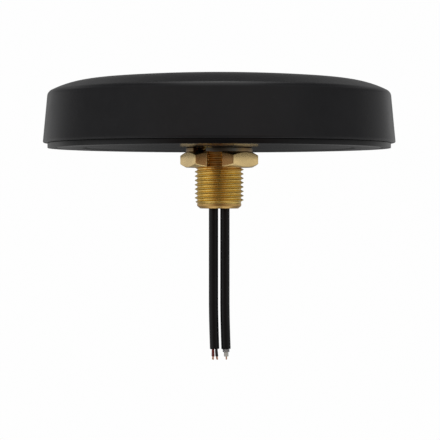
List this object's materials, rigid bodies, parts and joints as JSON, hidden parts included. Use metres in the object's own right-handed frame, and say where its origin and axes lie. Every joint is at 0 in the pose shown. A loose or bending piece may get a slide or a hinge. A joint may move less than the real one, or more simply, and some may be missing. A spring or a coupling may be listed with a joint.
{
  "type": "gnss receiver",
  "caption": "Low round receiver puck with a hollow threaded stem, a slotted hex nut and an open washer for panel mounting, and thin leads out of the stem.",
  "frame": {"origin": "on the stem's axis, in the plane of the base underside around the stem; the outer land stands 0.25 mm below it and the free gasket 0.3 mm", "axes": "+Z along the stem's axis out of the dome, the stem and leads point along -Z, the two leads lie side by side along X, and the nut's slot faces -Y at rest"},
  "size_m": [0.1142, 0.1142, 0.0925],
  "materials": {
    "cover_plastic": "satin moulded black, fine texture",
    "base_plastic": "semi-gloss moulded black",
    "brass_insert": "turned",
    "stem_brass": "turned, threaded",
    "nut_brass": "bright, lightly brushed flats",
    "washer_brass": "dull, lightly tarnished",
    "screw_steel": "plain stainless",
    "seal_rubber": "matte",
    "foam": "closed-cell foam",
    "patch_silver": "fired silver film",
    "patch_ceramic": "sintered ceramic",
    "board": "green solder mask",
    "chip_black": "moulded epoxy",
    "module_blue": "blue solder mask",
    "tinplate": "bright tinplate",
    "plug_nylon": "natural nylon",
    "wire_insulation": "PVC in four muted colours",
    "lead_jacket": "satin PVC",
    "dielectric": "white polyethylene",
    "carrier_plastic": "moulded",
    "copper_sheet": "rolled copper alloy",
    "copper_wire": "drawn copper",
    "braid_tin": "tinned copper braid"
  },
  "bodies": {
    "housing": {"radome": "cover_plastic", "cover_inserts": "brass_insert", "foam_pad": "foam", "upper_electrode": "patch_silver", "upper_patch": "patch_ceramic", "lower_electrode": "patch_silver", "lower_patch": "patch_ceramic", "feed_pins": "brass_insert", "main_board": "board", "board_chips": "chip_black", "receiver_module": "module_blue", "receiver_shield": "tinplate", "front_end_shield": "tinplate", "board_screws": "screw_steel", "data_plug": "plug_nylon", "data_wires_inner": "wire_insulation", "data_lead_inner": "lead_jacket", "coax_lead_inner": "lead_jacket", "coax_ferrule": "brass_insert", "coax_feed": "dielectric", "link_carrier": "carrier_plastic", "link_antenna": "copper_sheet", "cable_saddles": "carrier_plastic", "saddle_screws": "screw_steel", "base_plate": "base_plastic", "cover_seal": "seal_rubber", "cover_screws": "screw_steel", "mounting_gasket": "seal_rubber", "threaded_stem": "stem_brass", "stem_seal": "seal_rubber", "stem_screws": "screw_steel", "cable_grommet": "seal_rubber"},
    "washer": {"lock_washer": "washer_brass"},
    "nut": {"hex_nut": "nut_brass"},
    "data_lead": {"data_jacket": "lead_jacket", "data_cores": "wire_insulation", "data_conductors": "copper_wire"},
    "coax_lead": {"coax_jacket": "lead_jacket", "coax_braid": "braid_tin", "coax_dielectric": "dielectric", "coax_core": "copper_wire"}
  },
  "joints": [
    {"name": "washer_slide", "type": "slide", "parent": "housing", "child": "washer", "axis": [0, 0, -1], "range_m": [-0.0001, 0.015]},
    {"name": "nut_turn", "type": "hinge", "parent": "washer", "child": "nut", "pos_m": [0, 0, -0.004], "axis": [0, 0, -1], "range_deg": [-26, 3828]},
    {"name": "data_lead_swing", "type": "hinge", "parent": "housing", "child": "data_lead", "pos_m": [-0.00185, 0, -0.0216], "axis": [1, 0, 0], "range_deg": [-45, 45]},
    {"name": "coax_lead_swing", "type": "hinge", "parent": "housing", "child": "coax_lead", "pos_m": [0.00185, 0, -0.0216], "axis": [1, 0, 0], "range_deg": [-45, 45]}
  ],
  "couplings": [
    {"joint": "nut_turn", "follows": "washer_slide", "rad_per_m": 4452.7}
  ]
}
